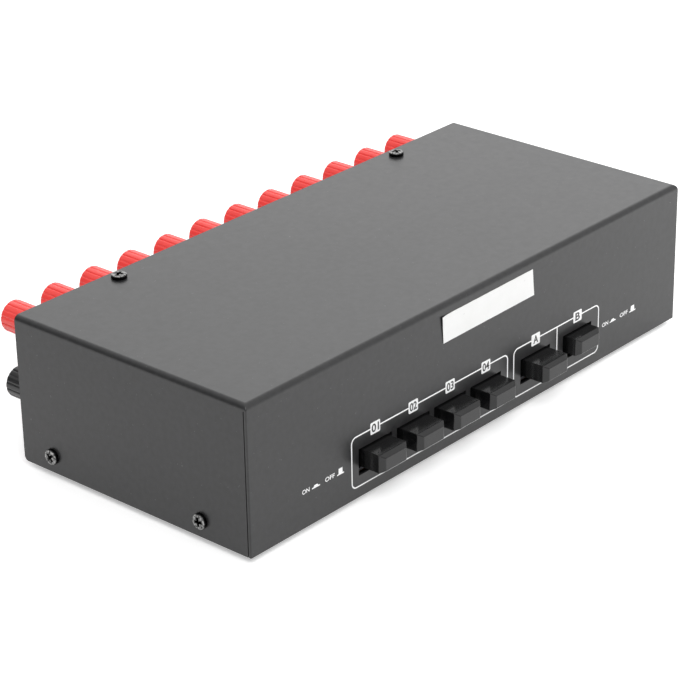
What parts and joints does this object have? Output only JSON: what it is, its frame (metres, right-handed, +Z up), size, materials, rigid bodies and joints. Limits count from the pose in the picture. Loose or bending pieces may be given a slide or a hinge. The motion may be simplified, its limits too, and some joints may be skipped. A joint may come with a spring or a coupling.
{
  "type": "speaker selector switch",
  "caption": "Grey steel box with push buttons in front, which joins amplifiers to speakers, and rows of red and black binding posts behind.",
  "frame": {"origin": "middle of the object's footprint, on the surface that the feet stand on", "axes": "+X to the right along the front panel, +Y to the back, +Z up"},
  "size_m": [0.2584, 0.1472, 0.0632],
  "materials": {
    "case_paint": "satin grey-black enamel",
    "button_black": "glossy moulded black",
    "cap_red": "moulded red with fine ridges",
    "cap_black": "moulded black with fine ridges",
    "brass": "bright turned brass",
    "steel": "zinc-plated sheet",
    "screw_black": "black with worn edges",
    "rubber": "matt",
    "tape": "white embossing tape",
    "moulding": "dark moulded housing",
    "plunger": "natural nylon",
    "board": "brown laminate"
  },
  "bodies": {
    "case": {"cover": "case_paint", "chassis": "case_paint", "cover_screws": "screw_black", "rubber_feet": "rubber", "label_tape": "tape", "input_switch_frame": "steel", "output_switch_frame": "steel", "input_switch_housings": "moulding", "output_switch_housings": "moulding", "circuit_board": "board", "board_supports": "plunger", "terminal_studs": "brass", "red_collars": "cap_red", "black_collars": "cap_black", "insulating_strips": "board", "stud_nuts": "brass", "post_links": "brass", "spring_input_1": "steel", "spring_input_2": "steel", "spring_input_3": "steel", "spring_input_4": "steel", "spring_output_a": "steel", "spring_output_b": "steel"},
    "button_input_1": {"button_input_1": "button_black", "plunger_input_1": "plunger"},
    "button_input_2": {"button_input_2": "button_black", "plunger_input_2": "plunger"},
    "button_input_3": {"button_input_3": "button_black", "plunger_input_3": "plunger"},
    "button_input_4": {"button_input_4": "button_black", "plunger_input_4": "plunger"},
    "button_output_a": {"button_output_a": "button_black", "plunger_output_a": "plunger"},
    "button_output_b": {"button_output_b": "button_black", "plunger_output_b": "plunger"},
    "latch_bar": {"latch_bar": "steel"},
    "red_cap_01": {"red_cap_01": "cap_red"},
    "red_cap_02": {"red_cap_02": "cap_red"},
    "red_cap_03": {"red_cap_03": "cap_red"},
    "red_cap_04": {"red_cap_04": "cap_red"},
    "red_cap_05": {"red_cap_05": "cap_red"},
    "red_cap_06": {"red_cap_06": "cap_red"},
    "red_cap_07": {"red_cap_07": "cap_red"},
    "red_cap_08": {"red_cap_08": "cap_red"},
    "red_cap_09": {"red_cap_09": "cap_red"},
    "red_cap_10": {"red_cap_10": "cap_red"},
    "red_cap_11": {"red_cap_11": "cap_red"},
    "red_cap_12": {"red_cap_12": "cap_red"},
    "black_cap_01": {"black_cap_01": "cap_black"},
    "black_cap_02": {"black_cap_02": "cap_black"},
    "black_cap_03": {"black_cap_03": "cap_black"},
    "black_cap_04": {"black_cap_04": "cap_black"},
    "black_cap_05": {"black_cap_05": "cap_black"},
    "black_cap_06": {"black_cap_06": "cap_black"},
    "black_cap_07": {"black_cap_07": "cap_black"},
    "black_cap_08": {"black_cap_08": "cap_black"},
    "black_cap_09": {"black_cap_09": "cap_black"},
    "black_cap_10": {"black_cap_10": "cap_black"},
    "black_cap_11": {"black_cap_11": "cap_black"},
    "black_cap_12": {"black_cap_12": "cap_black"}
  },
  "joints": [
    {"name": "push_input_1", "type": "slide", "parent": "case", "child": "button_input_1", "axis": [0, 1, 0], "range_m": [0, 0.0045], "deforming": ["spring_input_1"]},
    {"name": "push_input_2", "type": "slide", "parent": "case", "child": "button_input_2", "axis": [0, 1, 0], "range_m": [0, 0.0045], "deforming": ["spring_input_2"]},
    {"name": "push_input_3", "type": "slide", "parent": "case", "child": "button_input_3", "axis": [0, 1, 0], "range_m": [0, 0.0045], "deforming": ["spring_input_3"]},
    {"name": "push_input_4", "type": "slide", "parent": "case", "child": "button_input_4", "axis": [0, 1, 0], "range_m": [0, 0.0045], "deforming": ["spring_input_4"]},
    {"name": "push_output_a", "type": "slide", "parent": "case", "child": "button_output_a", "axis": [0, 1, 0], "range_m": [0, 0.0045], "deforming": ["spring_output_a"]},
    {"name": "push_output_b", "type": "slide", "parent": "case", "child": "button_output_b", "axis": [0, 1, 0], "range_m": [-0.0045, 0], "deforming": ["spring_output_b"]},
    {"name": "latch_bar_slide", "type": "slide", "parent": "case", "child": "latch_bar", "axis": [1, 0, 0], "range_m": [0, 0.0015], "stiffness_N_per_m": 200},
    {"name": "unscrew_red_cap_01", "type": "slide", "parent": "case", "child": "red_cap_01", "axis": [0, 1, 0], "range_m": [0, 0.005]},
    {"name": "unscrew_red_cap_02", "type": "slide", "parent": "case", "child": "red_cap_02", "axis": [0, 1, 0], "range_m": [0, 0.005]},
    {"name": "unscrew_red_cap_03", "type": "slide", "parent": "case", "child": "red_cap_03", "axis": [0, 1, 0], "range_m": [0, 0.005]},
    {"name": "unscrew_red_cap_04", "type": "slide", "parent": "case", "child": "red_cap_04", "axis": [0, 1, 0], "range_m": [0, 0.005]},
    {"name": "unscrew_red_cap_05", "type": "slide", "parent": "case", "child": "red_cap_05", "axis": [0, 1, 0], "range_m": [0, 0.005]},
    {"name": "unscrew_red_cap_06", "type": "slide", "parent": "case", "child": "red_cap_06", "axis": [0, 1, 0], "range_m": [0, 0.005]},
    {"name": "unscrew_red_cap_07", "type": "slide", "parent": "case", "child": "red_cap_07", "axis": [0, 1, 0], "range_m": [0, 0.005]},
    {"name": "unscrew_red_cap_08", "type": "slide", "parent": "case", "child": "red_cap_08", "axis": [0, 1, 0], "range_m": [0, 0.005]},
    {"name": "unscrew_red_cap_09", "type": "slide", "parent": "case", "child": "red_cap_09", "axis": [0, 1, 0], "range_m": [0, 0.005]},
    {"name": "unscrew_red_cap_10", "type": "slide", "parent": "case", "child": "red_cap_10", "axis": [0, 1, 0], "range_m": [0, 0.005]},
    {"name": "unscrew_red_cap_11", "type": "slide", "parent": "case", "child": "red_cap_11", "axis": [0, 1, 0], "range_m": [0, 0.005]},
    {"name": "unscrew_red_cap_12", "type": "slide", "parent": "case", "child": "red_cap_12", "axis": [0, 1, 0], "range_m": [0, 0.005]},
    {"name": "unscrew_black_cap_01", "type": "slide", "parent": "case", "child": "black_cap_01", "axis": [0, 1, 0], "range_m": [0, 0.005]},
    {"name": "unscrew_black_cap_02", "type": "slide", "parent": "case", "child": "black_cap_02", "axis": [0, 1, 0], "range_m": [0, 0.005]},
    {"name": "unscrew_black_cap_03", "type": "slide", "parent": "case", "child": "black_cap_03", "axis": [0, 1, 0], "range_m": [0, 0.005]},
    {"name": "unscrew_black_cap_04", "type": "slide", "parent": "case", "child": "black_cap_04", "axis": [0, 1, 0], "range_m": [0, 0.005]},
    {"name": "unscrew_black_cap_05", "type": "slide", "parent": "case", "child": "black_cap_05", "axis": [0, 1, 0], "range_m": [0, 0.005]},
    {"name": "unscrew_black_cap_06", "type": "slide", "parent": "case", "child": "black_cap_06", "axis": [0, 1, 0], "range_m": [0, 0.005]},
    {"name": "unscrew_black_cap_07", "type": "slide", "parent": "case", "child": "black_cap_07", "axis": [0, 1, 0], "range_m": [0, 0.005]},
    {"name": "unscrew_black_cap_08", "type": "slide", "parent": "case", "child": "black_cap_08", "axis": [0, 1, 0], "range_m": [0, 0.005]},
    {"name": "unscrew_black_cap_09", "type": "slide", "parent": "case", "child": "black_cap_09", "axis": [0, 1, 0], "range_m": [0, 0.005]},
    {"name": "unscrew_black_cap_10", "type": "slide", "parent": "case", "child": "black_cap_10", "axis": [0, 1, 0], "range_m": [0, 0.005]},
    {"name": "unscrew_black_cap_11", "type": "slide", "parent": "case", "child": "black_cap_11", "axis": [0, 1, 0], "range_m": [0, 0.005]},
    {"name": "unscrew_black_cap_12", "type": "slide", "parent": "case", "child": "black_cap_12", "axis": [0, 1, 0], "range_m": [0, 0.005]}
  ]
}
